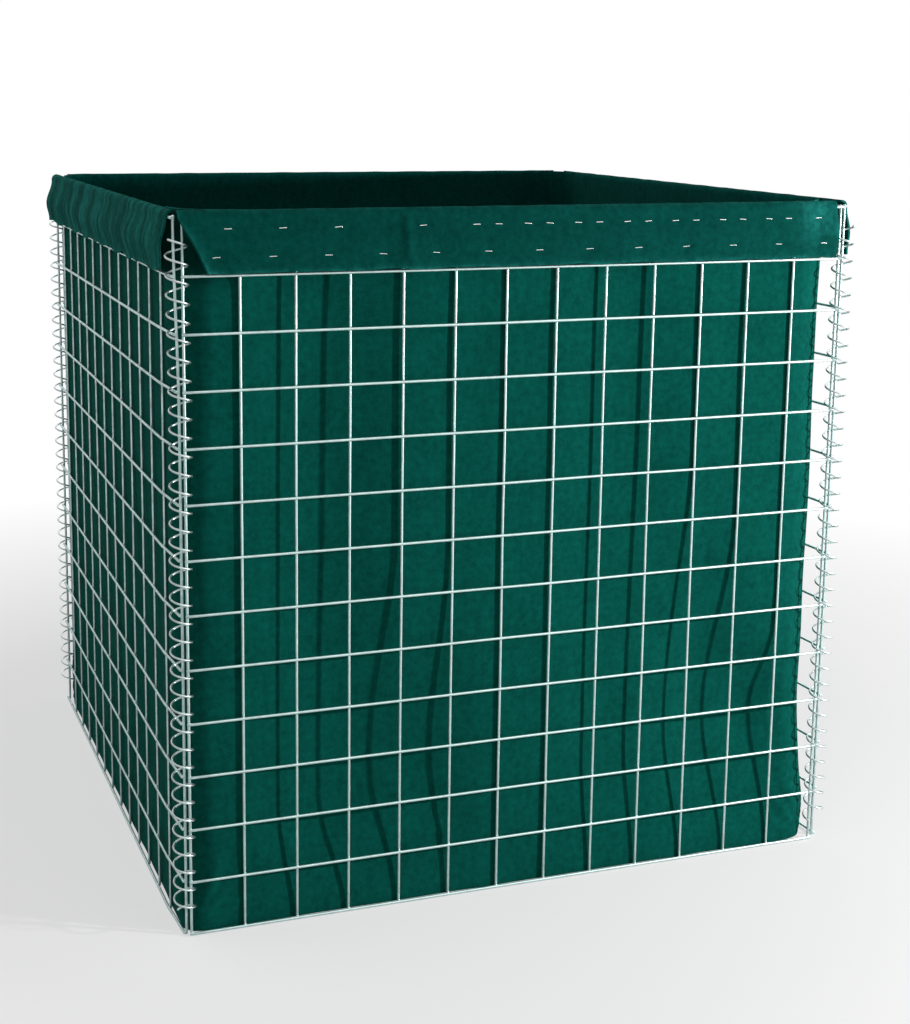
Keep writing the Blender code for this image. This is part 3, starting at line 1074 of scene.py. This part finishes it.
@dataclass
class LinerCorner:
    """The felt that rounds the corner at a side's low end, between two walls.

    The radius is tighter at the ground, up to the tuck height. A corner that no hinge
    joins is two laps, each as wide as a share of the corner.
    """

    side: Side
    liner: Liner
    liner_before: Liner
    radius: float
    low_radius: float
    tuck_height: float = 0.16
    recess: float = 0.0
    recess_drop: float = 0.040
    recess_height: float = 0.034
    tucks: Steps = (0.50, 0.88, 1.22)
    tuck_width: float = 0.11
    tuck_reach: float = 0.135
    tuck_rise: float = 0.0038
    fold: float = 0.0011
    fold_length: float = 0.045
    fold_run: float = 0.12
    fold_seeds: Span = (3.0, 2.7)
    fold_wander: Span = (0.012, 4.0)
    wave: float = 0.0018
    wave_length: float = 0.4
    top_stand: float = 0.0092
    bend_share: float = 0.8
    seam_hang: Span = (0.4, 0.6)
    lap: float = 0.55
    lap_gap: float = 0.0034
    lap_kept: float = 0.06
    columns: int = 44
    row_spacing: float = 0.006

    @property
    def wall_line(self) -> float:
        """How far out the middle layer of the pressed walls stands."""
        return MESH.plane + self.liner.wall_out + self.liner.press

    def tucked(self, away: Array, height: Array) -> Array:
        """The folds that fan out from the corner's foot.

        Each is a bell of the angle from its own direction, and a half sine of the distance.

        Args:
            away: how much felt lies between the place and the middle of the corner.
            height: heights.

        Returns:
            The folds' rise at each place.
        """
        reach = np.hypot(away, height) / self.tuck_reach
        angle = np.arctan2(height, np.abs(away))
        fans = sum(bell((angle - tuck) / self.tuck_width) for tuck in self.tucks)
        return self.tuck_rise * fans * np.sin(np.pi * np.clip(reach, 0, 1))

    def swell(self, share: Array, height: Array, run: Array, under: float) -> Array:
        """How far the felt stands out from its rounded plan.

        Soft folds that die out at both seams, the tucks, each wall's hang at its seam,
        which dies out round the corner, and a bell of the height that draws it in by the
        recess under the rim.

        Args:
            share: shares of the corner, from this side's seam to the other one.
            height: heights.
            run: how much felt rounds the corner at each height.
            under: how far in it lies, away from the seam with the side before.

        Returns:
            The swell, outwards, at each place.
        """
        seed, middle = swung(self.fold_seeds, self.side.value), np.sin(np.pi * share)
        far, fast = self.fold_wander
        wander = far * np.sin(fast * height + seed)
        folds = self.fold * ripple(self.fold_run * share + wander, self.fold_length, seed)
        swell = (folds + self.wave * ripple(height, self.wave_length, seed)) * middle ** 2
        liners, seams = (self.liner, self.liner_before), (0.0, 1.0)
        for liner, gone, seam in zip(liners, self.seam_hang, seams):
            end = (2 * seam - 1) * liner.wall_end
            hang = liner.wall_hang(np.array(end), height) + liner.pressed(height)
            swell = swell - hang * eased(share, gone, seam)
        swell = swell + self.tucked((0.5 - share) * run, height) * middle ** 0.5
        drawn = bell((height - MESH.rim + self.recess_drop) / self.recess_height)
        return swell - self.recess * drawn * middle - under * eased(share, 1.0, self.lap)

    def middle_layer(self, under: float = 0.0) -> Layer:
        """The corner's middle layer, from this side's wall round to the side before.

        In plan it goes straight off the seam, round a quarter circle and straight to the
        other seam, and it swells along the circle's radius.

        Args:
            under: how far in it lies, away from the seam with the side before.

        Returns:
            The points by row and column, their lay in metres, and the fuzzy fibres at their top
            edge.
        """
        liner, top = self.liner, MESH.rim + self.top_stand
        z = stations(liner.floor_gap, top, self.row_spacing, liner.hem_edge)[:, None]
        line = MESH.plane + liner.wall_out + liner.pressed(z)
        radius = self.radius + (self.low_radius - self.radius) * (1 - eased(z, 0, self.tuck_height))
        straight, arc = line - radius - liner.wall_end, radius * np.pi / 2
        share = np.linspace(0, 1, self.columns + 1)[None]
        run = share * (2 * straight + arc)
        turn = np.clip((run - straight) / radius, 0, np.pi / 2)
        before, after = np.minimum(run, straight), np.maximum(run - straight - arc, 0)
        swell = self.swell(share, z, 2 * straight + arc, under)
        x = -liner.wall_end - before - radius * np.sin(turn) - swell * np.sin(turn)
        y = -line + radius * (1 - np.cos(turn)) + after - swell * np.cos(turn)
        points = np.stack([x, y, np.broadcast_to(z, x.shape)], -1)
        along = self.side.value * liner.quarter - liner.wall_end - share * liner.corner_run
        lay = np.stack(np.broadcast_arrays(along, z), -1)
        return points, lay, np.broadcast_to(np.exp(-(top - z) / FUZZ_WIDTH), x.shape)

    def bend(self) -> tuple[Array, Array]:
        """Where the felt bends: up to a share of the radius from where its walls would meet.

        Returns:
            The bend's start, on the side before, and its end, on this side.
        """
        line, away = self.wall_line, self.bend_share * self.radius
        return self.side.turned((-line, away - line, 0)), self.side.turned((away - line, -line, 0))

    def declare(self, made: Object) -> Object:
        """Makes a piece of corner felt stand for the corner's solid.

        Args:
            made: the piece.

        Returns:
            The piece.
        """
        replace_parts(made, f"{self.side.corner}_liner_corner")
        return made

    def build(self, finish: Material) -> list[Object]:
        """Makes the corner's felt, whole where a hinge joins the sides, else in two laps.

        Args:
            finish: the felt's material.

        Returns:
            The pieces: one whole piece, or two that lie over each other, each riding on its own
                side.
        """
        points, lay, pale_fuzz_and_highlight = self.middle_layer()
        side, before, points = self.side, self.side.before, self.side.turned(points)
        name, thick = f"{side.corner}_felt_corner", self.liner.thick
        if side is not Side.BACK:
            made = felt_sheet(points, lay, pale_fuzz_and_highlight, thick, (0.0, 1.0)).piece(name, finish, Slot.FELT)
            start, end = self.bend()
            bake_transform(made)
            return [self.declare(made)]
        count = round(self.lap * self.columns) + 1
        under = side.turned(self.middle_layer(self.lap_gap)[0])
        laps = []
        for carrier, layer, part in ((side, points, slice(None, count)),
                                     (before, under, slice(-count, None))):
            cut = layer[:, part]
            skin = felt_sheet(cut, lay[:, part], pale_fuzz_and_highlight[:, part], thick, (0.0, 1.0))
            made = skin.piece(f"{name}_{carrier.label}", finish, Slot.FELT)
            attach(made, carrier.label)
            outward = carrier.turned((0.0, -1.0, 0.0))
            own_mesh(made)
            laps.append(self.declare(made))
        return laps


@dataclass(frozen=True)
class Grain:
    """A noise: waves in a metre, finer layers, their strength, and its share of a mix."""

    scale: NodeSocket | float
    detail: float
    roughness: float
    share: float = 1.0


class Shader:
    """A material's nodes, or a node group's, with short calls to add and link them."""

    def __init__(self, tree: NodeTree) -> None:
        """Works on a node tree that exists."""
        self.tree = tree

    @classmethod
    def material(cls, name: str) -> tuple["Shader", Material, Node]:
        """A new material.

        Args:
            name: the material's name.

        Returns:
            Its nodes, the material, and its Principled shader.
        """
        made = bpy.data.materials.new(name)
        made.use_nodes = True
        return cls(made.node_tree), made, made.node_tree.nodes["Principled BSDF"]

    def feed(self, node: Node, feeds: Feeds) -> Node:
        """Fills inputs of a node.

        Args:
            node: the node.
            feeds: the output that an input is linked to, or the input's own value, by the
                input's name or number.

        Returns:
            The node.
        """
        for key, source in feeds.items():
            if isinstance(source, NodeSocket):
                self.tree.links.new(source, node.inputs[key])
            else:
                node.inputs[key].default_value = source
        return node

    def add(self, kind: str, feeds: Feeds | None = None, **settings: object) -> Node:
        """A new node.

        Args:
            kind: the node's type, without its common start.
            feeds: what its inputs are filled with.
            settings: its properties.

        Returns:
            The node.
        """
        node = self.tree.nodes.new(f"ShaderNode{kind}")
        for name, value in settings.items():
            setattr(node, name, value)
        return self.feed(node, feeds or {})

    def noise(self, vector: NodeSocket, grain: Grain) -> NodeSocket:
        """A noise texture's value, about 0.5."""
        return self.add("TexNoise", {"Vector": vector, "Scale": grain.scale, "Detail": grain.detail,
                                     "Roughness": grain.roughness}).outputs[0]

    def graded(self, value: NodeSocket, source: Span, target: Span) -> NodeSocket:
        """A value brought from one range to another, and held inside it."""
        ranges = zip(("From Min", "From Max", "To Min", "To Max"), (*source, *target))
        return self.add("MapRange", {"Value": value, **dict(ranges)}).outputs[0]

    def maths(self, operation: str, one: NodeSocket, other: NodeSocket | float) -> NodeSocket:
        """One value and another put together by one of Blender's operations."""
        return self.add("Math", {0: one, 1: other}, operation=operation).outputs[0]

    def mixed(self, share: NodeSocket, one: NodeSocket | Triple, other: NodeSocket | Triple,
              blend: str = "MIX") -> NodeSocket:
        """Two colours mixed by a value: 0 gives the first, 1 the second."""
        one, other = (x if isinstance(x, NodeSocket) else (*x, 1.0) for x in (one, other))
        return self.add("Mix", {"Factor": share, 6: one, 7: other}, data_type="RGBA",
                        blend_type=blend).outputs[2]

    def layered(self, share: NodeSocket, one: NodeSocket, other: NodeSocket) -> NodeSocket:
        """Two shaders mixed by a value: 0 gives the first, 1 the second."""
        return self.add("MixShader", {0: share, 1: one, 2: other}).outputs[0]

    def bumped(self, height: NodeSocket, depth: float) -> NodeSocket:
        """Normals that follow a height from 0 to 1, which stands for the depth in metres."""
        return self.add("Bump", {"Strength": 1.0, "Distance": depth, "Height": height}).outputs[0]


def zinc_bloom() -> NodeTree:
    """The node group that all the zinc-coated wires share: cloudy dull patches and fine pits.

    Bloom is a coarse noise stretched over its middle range, Height a fine noise.

    Returns:
        The group.
    """
    tree = bpy.data.node_groups.new("zinc_bloom", "ShaderNodeTree")
    for name, kind, way in (("Vector", "NodeSocketVector", "INPUT"),
                            ("Patch Scale", "NodeSocketFloat", "INPUT"),
                            ("Pit Scale", "NodeSocketFloat", "INPUT"),
                            ("Bloom", "NodeSocketFloat", "OUTPUT"),
                            ("Height", "NodeSocketFloat", "OUTPUT")):
        tree.interface.new_socket(name, in_out=way, socket_type=kind)
    nodes = Shader(tree)
    given = tree.nodes.new("NodeGroupInput").outputs
    coarse = Grain(given["Patch Scale"], detail=3.0, roughness=0.6)
    fine = Grain(given["Pit Scale"], detail=2.0, roughness=0.5)
    patches, pits = (nodes.noise(given["Vector"], grain) for grain in (coarse, fine))
    nodes.feed(tree.nodes.new("NodeGroupOutput"),
               {"Bloom": nodes.graded(patches, MIDDLE_PATCHES, FULL), "Height": pits})
    return tree


@dataclass(frozen=True)
class ZincFinish:
    """A zinc-coated wire: bright where it is clean and greyer in its patches."""

    name: str
    bright: Triple
    dull: Triple
    roughness: Span
    patch_scale: float
    pit_scale: float
    pit_depth: float
    metallic: float = 0.9

    def build(self, bloom: NodeTree) -> Material:
        """Makes the material.

        Args:
            bloom: the node group of patches and pits.

        Returns:
            The material.
        """
        nodes, made, shader = Shader.material(self.name)
        place = nodes.add("TexCoord").outputs["Object"]
        group = nodes.add("Group", {"Vector": place, "Patch Scale": self.patch_scale,
                                    "Pit Scale": self.pit_scale}, node_tree=bloom)
        patch = group.outputs["Bloom"]
        nodes.feed(shader, {"Base Color": nodes.mixed(patch, self.bright, self.dull),
                            "Roughness": nodes.graded(patch, FULL, self.roughness),
                            "Normal": nodes.bumped(group.outputs["Height"], self.pit_depth),
                            "Metallic": self.metallic})
        return made


@dataclass(frozen=True)
class FeltFinish:
    """Needle-punched felt: matted fibres, paler and fuzzy on its cut edges and partly on its crest;
    the same pale colour is also painted as highlights on crests and on one patch of the front flap.
    """

    name: str = "green_felt"
    deep: Triple = (0.0008, 0.050, 0.039)
    pale: Triple = (0.0018, 0.088, 0.068)
    # Pale fibre colour, also used for the painted highlights.
    fuzz: Triple = (0.010, 0.165, 0.142)
    inner_tint: Triple = (1.0, 0.80, 0.84)
    sheen_tint: Triple = (0.45, 0.80, 0.72)
    sheen: float = 0.02
    specular: float = 0.01
    roughness: Span = (0.98, 0.88)
    clumps: Grain = Grain(105.0, 3.0, 0.65, 0.45)
    fibres: Grain = Grain(520.0, 2.0, 0.7, 0.20)
    streaks: Grain = Grain(73.5, 2.0, 0.6, 0.20)
    clouds: Grain = Grain(14.0, 2.0, 0.5, 0.15)
    brushed: Grain = Grain(36.0, 3.0, 0.6)
    drawn_out: Triple = (1.0, 0.28, 1.0)
    mottled: Span = (0.38, 0.62)
    matted: Span = (0.3, 0.7)
    tufted: tuple[Span, Span] = ((0.3, 0.6), (0.35, 1.0))
    combed: tuple[Span, Span] = ((0.38, 0.58), (0.15, 1.0))
    bump_depth: float = 0.0007

    def build(self) -> Material:
        """Makes the material.

        Returns:
            The material, whose pattern follows the felt's own map in metres.
        """
        nodes, made, shader = Shader.material(self.name)
        lay = nodes.add("UVMap", uv_map="felt_lay").outputs[0]
        drawn = nodes.add("Mapping", {"Vector": lay, "Scale": self.drawn_out}).outputs[0]
        clumps = nodes.noise(lay, self.clumps)
        mottle = nodes.maths("MULTIPLY", clumps, self.clumps.share)
        for way, grain in ((lay, self.fibres), (drawn, self.streaks), (lay, self.clouds)):
            layer = nodes.maths("MULTIPLY", nodes.noise(way, grain), grain.share)
            mottle = nodes.maths("ADD", mottle, layer)
        colour = nodes.mixed(nodes.graded(mottle, self.mottled, FULL), self.deep, self.pale)
        # The pale share: fuzzy cut edges plus painted highlights on crests and one patch of the
        # flap.
        pale_fuzz_and_highlight, inner = (nodes.add("Attribute", attribute_name=name).outputs["Fac"]
                       for name in ("pale_fuzz_and_highlight", "inner"))
        colour = nodes.mixed(inner, colour, self.inner_tint, "MULTIPLY")
        brushed = nodes.noise(drawn, self.brushed)
        edge = nodes.maths("MULTIPLY", pale_fuzz_and_highlight, nodes.graded(clumps, *self.tufted))
        edge = nodes.maths("MULTIPLY", edge, nodes.graded(brushed, *self.combed))
        nodes.feed(shader, {"Base Color": nodes.mixed(edge, colour, self.fuzz),
                            "Roughness": nodes.graded(clumps, self.matted, self.roughness),
                            "Normal": nodes.bumped(mottle, self.bump_depth),
                            "Specular IOR Level": self.specular, "Sheen Weight": self.sheen,
                            "Sheen Tint": (*self.sheen_tint, 1.0)})
        return made


@dataclass(frozen=True)
class FloorFinish:
    """A matt pale floor that keeps the bin's shadow near it and is plain white further out.

    Near the bin the floor is lightened for the camera. For the metal it turns white over
    a longer way, so that wires in the shade reflect a shaded floor.
    """

    grey: float = 0.70
    roughness: float = 0.9
    specular: float = 0.1
    seen: tuple[Span, Span] = ((0.9, 2.2), (0.55, 1.0))
    shiny: tuple[Span, Span] = ((1.2, 6.0), (0.10, 1.0))

    def build(self) -> Material:
        """Makes the material.

        Returns:
            The material, whose glow grows with the distance from the bin.
        """
        nodes, made, shader = Shader.material("pale_floor")
        nodes.feed(shader, {"Base Color": (self.grey,) * 3 + (1.0,), "Roughness": self.roughness,
                            "Specular IOR Level": self.specular})
        place = nodes.add("TexCoord").outputs["Object"]
        away = nodes.add("VectorMath", {0: place}, operation="LENGTH").outputs["Value"]
        ray = nodes.add("LightPath").outputs
        seen = nodes.maths("MULTIPLY", nodes.graded(away, *self.seen), ray["Is Camera Ray"])
        shiny = nodes.maths("MULTIPLY", nodes.graded(away, *self.shiny), ray["Is Glossy Ray"])
        white = nodes.add("Emission", {"Color": WHITE, "Strength": 1.0}).outputs[0]
        nodes.feed(nodes.tree.nodes["Material Output"], {"Surface": nodes.layered(
            nodes.maths("ADD", seen, shiny), shader.outputs[0], white)})
        return made


@dataclass(frozen=True)
class Lobe:
    """A bright or dim side of the room: it rises with the closeness to a direction."""

    toward: Triple
    rise: Span
    strength: float


@dataclass
class Studio:
    """The camera, the pale floor, the room's soft light and the lamp."""

    eye: Triple = (-0.97645, -2.69087, 1.15358)
    heading: float = 19.69
    tilt: float = -10.12
    roll: float = 0.48
    lens: float = 60.40
    shift: Span = (0.0537, -0.1094)
    floor_radius: float = 14.0
    floor_rings: int = 7
    floor_spokes: int = 64
    floor_drop: float = 0.0004
    key_place: Triple = (1.95, -1.75, 1.00)
    key_target: Triple = (0.0, -0.5, 0.55)
    key_size: float = 0.13
    key_power: float = 64.0
    soft_base: float = 0.03
    soft_lobes: tuple[Lobe, ...] = (Lobe((0.50, -0.84, 0.20), (0.1, 1.0), 0.32),
                                    Lobe((0.0, 0.0, 1.0), (0.2, 1.0), 0.30),
                                    Lobe((-0.93, -0.10, 0.35), (0.3, 1.0), 0.18),
                                    Lobe((-0.62, 0.70, 0.35), (0.6, 1.0), 1.20))
    shiny_base: float = 0.92
    shiny_lobes: tuple[Lobe, ...] = (Lobe((-0.98, -0.20, 0.0), (-0.25, 0.40), -0.70),
                                     Lobe((0.0, 0.0, 1.0), (0.05, 0.65), 0.50))

    def add_camera(self) -> None:
        """The camera, turned by its heading to the right of +Y, its tilt and its roll."""
        heading, tilt, roll = (math.radians(x) for x in (self.heading, self.tilt, self.roll))
        ahead = np.array([math.sin(heading) * math.cos(tilt), math.cos(heading) * math.cos(tilt),
                          math.sin(tilt)])
        level = np.array([math.cos(heading), -math.sin(heading), 0.0])
        right = math.cos(roll) * level + math.sin(roll) * np.cross(level, ahead)
        turn = Matrix(np.stack([right, np.cross(right, ahead), -ahead], 1).tolist()).to_4x4()
        data = bpy.data.cameras.new("camera")
        data.lens, (data.shift_x, data.shift_y) = self.lens, self.shift
        camera = bpy.data.objects.new("camera", data)
        camera.matrix_world = Matrix.Translation(self.eye) @ turn
        bpy.context.scene.collection.objects.link(camera)
        bpy.context.scene.camera = camera

    def add_lamp(self) -> None:
        """The key lamp, a round one that faces the middle of the front."""
        data = bpy.data.lights.new("key_lamp", "AREA")
        data.shape, data.size, data.energy = "DISK", self.key_size, self.key_power
        lamp = bpy.data.objects.new("key_lamp", data)
        away = Vector(self.key_place) - Vector(self.key_target)
        lamp.rotation_euler = away.to_track_quat("Z", "Y").to_euler()
        lamp.location = self.key_place
        bpy.context.scene.collection.objects.link(lamp)

    def add_floor(self) -> None:
        """The floor: a disk of rings, at radii that grow evenly, and spokes."""
        spokes = self.floor_spokes
        rings = np.linspace(0, self.floor_radius, self.floor_rings + 1)[1:]
        turn = 2 * np.pi * np.arange(spokes) / spokes
        flat = rings[:, None, None] * np.stack([np.cos(turn), np.sin(turn)], -1)
        points = np.concatenate([flat.reshape(-1, 2), [[0.0, 0.0]]])
        points = np.concatenate([points, np.full((len(points), 1), -self.floor_drop)], 1)
        index = np.arange(len(points) - 1).reshape(-1, spokes)
        beside = np.roll(index, -1, axis=1)
        quads = np.stack([index[:-1], index[1:], beside[1:], beside[:-1]], -1).reshape(-1, 4)
        fans = np.stack([np.full(spokes, len(points) - 1), index[0], beside[0]], -1)
        mesh = bpy.data.meshes.new("floor")
        mesh.from_pydata(points.tolist(), [], quads.tolist() + fans.tolist())
        mesh.materials.append(FloorFinish().build())
        floor = bpy.data.objects.new("floor", mesh)
        bpy.context.scene.collection.objects.link(floor)

    def glow(self, nodes: Shader, way: NodeSocket, base: float,
             lobes: tuple[Lobe, ...] = ()) -> NodeSocket:
        """The room's light in a direction: a base plus every lobe's share of its strength.

        Args:
            nodes: the world's nodes.
            way: the direction.
            base: the brightness outside the lobes.
            lobes: the lobes.

        Returns:
            The background.
        """
        level = base
        for lobe in lobes:
            dot = nodes.add("VectorMath", {0: way, 1: lobe.toward}, operation="DOT_PRODUCT")
            share = nodes.graded(dot.outputs["Value"], lobe.rise, (0.0, lobe.strength))
            level = nodes.maths("ADD", share, level)
        return nodes.add("Background", {"Color": WHITE, "Strength": level}).outputs[0]

    def add_room(self) -> None:
        """The room's light: soft for what is matt, bright for what shines, white behind.

        The metal reflects a room that is white nearly all round, brightest above and dim on
        the left.
        """
        world = bpy.data.worlds.new("room")
        world.use_nodes = True
        bpy.context.scene.world = world
        world.node_tree.nodes.clear()
        nodes = Shader(world.node_tree)
        way = nodes.add("TexCoord").outputs["Generated"]
        ray = nodes.add("LightPath").outputs
        light = self.glow(nodes, way, self.soft_base, self.soft_lobes)
        shiny = self.glow(nodes, way, self.shiny_base, self.shiny_lobes)
        light = nodes.layered(ray["Is Glossy Ray"], light, shiny)
        light = nodes.layered(ray["Is Camera Ray"], light, self.glow(nodes, way, 1.0))
        nodes.add("OutputWorld", {"Surface": light})

    def build(self) -> None:
        """Sets up the whole studio."""
        self.add_camera()
        self.add_room()
        self.add_floor()
        self.add_lamp()
        bpy.context.scene.view_settings.view_transform = "Standard"
        log.info("studio: camera, room, floor and lamp")


PANEL_WIRE = ZincFinish("galvanised_wire", bright=(0.67, 0.85, 0.83), dull=(0.49, 0.63, 0.62),
                        roughness=(0.30, 0.48), patch_scale=70.0, pit_scale=1400.0,
                        pit_depth=0.00006)
SPIRAL_WIRE = ZincFinish("spiral_wire", bright=(0.72, 0.82, 0.81), dull=(0.55, 0.63, 0.62),
                         roughness=(0.26, 0.40), patch_scale=90.0, pit_scale=1600.0,
                         pit_depth=0.00004)
STAPLE_WIRE = ZincFinish("staple_steel", bright=(0.90, 0.92, 0.92), dull=(0.76, 0.78, 0.78),
                         roughness=(0.22, 0.36), patch_scale=260.0, pit_scale=2600.0,
                         pit_depth=0.00003)

SLANT_CUT = (0.002, 0.031)
WRAPPED_CUT = (-0.007, 0.031)
SQUARE_CUT = (0.011, 0.011)
SHORT_SLANT = (0.002, 0.010)
ROLLED_END = (0.002, 0.020)

DRAPES = {
    Side.FRONT: Drape(
        WRAPPED_CUT, SQUARE_CUT, seed=0.7,
        hollows=(Hollow(2.5, 1.8, 2.3, 30.0, 0.0, 0.018), Hollow(4.1, 1.9, 2.9, 7.2, 0.0, 0.016),
                 Hollow(8.4, 1.6, 2.5, 30.0, 0.0, 0.0095), Hollow(10.4, 2.0, 3.0, 7.7, -1.3, 0.022),
                 Hollow(11.8, 1.4, 2.9, 4.7, 0.0, 0.014)),
        creases=(Crease((3.5, 2.7), (5.3, 0.85), 0.0016, 0.0045),
                 Crease((5.8, 1.55), (6.7, 1.2), 0.0012, 0.0040),
                 Crease((7.35, 1.2), (7.7, 0.55), 0.0012, 0.0040),
                 Crease((1.15, 1.6), (1.5, 0.4), 0.0015, 0.006),
                 Crease((4.0, 13.3), (4.0, 12.2), 0.0030, 0.006),
                 Crease((3.98, 12.5), (4.3, 11.9), 0.0018, 0.005)),
        pleat=0.0016, pleat_length=0.16, hem_wave=0.0014, curl=0.0048,
        # A painted highlight on the flap's bulge near its high end.
        painted_highlight=(0.452, 0.15, 0.036)),
    Side.RIGHT: Drape(
        SHORT_SLANT, SQUARE_CUT, seed=2.1,
        hollows=(Hollow(4.6, 3.4, 2.6, 9.0, 0.4, 0.014), Hollow(9.9, 2.7, 3.4, 8.5, 0.0, 0.010)),
        pleat_length=0.09, flare=0.009),
    Side.BACK: Drape(
        SLANT_CUT, SQUARE_CUT, seed=3.6, hollows=(Hollow(6.7, 4.2, 3.0, 9.5, -0.3, 0.015),)),
    Side.LEFT: Drape(
        ROLLED_END, SLANT_CUT, seed=5.2,
        hollows=(Hollow(4.0, 3.0, 2.4, 8.4, 0.0, 0.010), Hollow(9.4, 2.8, 2.8, 8.8, 0.5, 0.012)),
        pleat=0.0034, pleat_length=0.130, hem_wave=0.0048, flare=0.006, slack_end=0.6,
        # Painted highlights on this flap's pleat crests and rim crest.
        crest_fuzz=1.0),
}
PANEL_BENDS = {Side.LEFT: {"lean": 0.0050, "reach": 0.0050}, Side.RIGHT: {"spread": 0.0028}}
SPIRAL_BENDS = {Side.FRONT: {"slack": 0.0034}}
CORNER_SIZES = {
    Side.FRONT: {"radius": 0.050, "low_radius": 0.024, "tuck_height": 0.11, "recess": 0.038},
    Side.RIGHT: {"radius": 0.082, "low_radius": 0.050, "tuck_height": 0.24},
    Side.BACK: {"radius": 0.074, "low_radius": 0.074},
    Side.LEFT: {"radius": 0.062, "low_radius": 0.044},
}


def main() -> None:
    """Builds the studio and every piece of the bin, and reports them."""
    logging.basicConfig(level=logging.INFO, format="%(name)s: %(message)s")
    Studio().build()
    bloom = zinc_bloom()
    panel_wire, spiral_wire, staple_wire = (
        finish.build(bloom) for finish in (PANEL_WIRE, SPIRAL_WIRE, STAPLE_WIRE))
    felt = FeltFinish().build()
    staples = Staples()
    for side in Side:
        MeshPanel(side, **PANEL_BENDS.get(side, {})).build(panel_wire)
        SpiralBinder(side, **SPIRAL_BENDS.get(side, {})).build(spiral_wire)
    liners = {side: Liner(side, DRAPES[side], staples if side is Side.FRONT else None)
              for side in Side}
    for side, liner in liners.items():
        liner.build(felt)
        LinerCorner(side, liner, liners[side.before], **CORNER_SIZES[side]).build(felt)
    staples.build(liners[Side.FRONT], staple_wire)


if __name__ == "__main__":
    main()
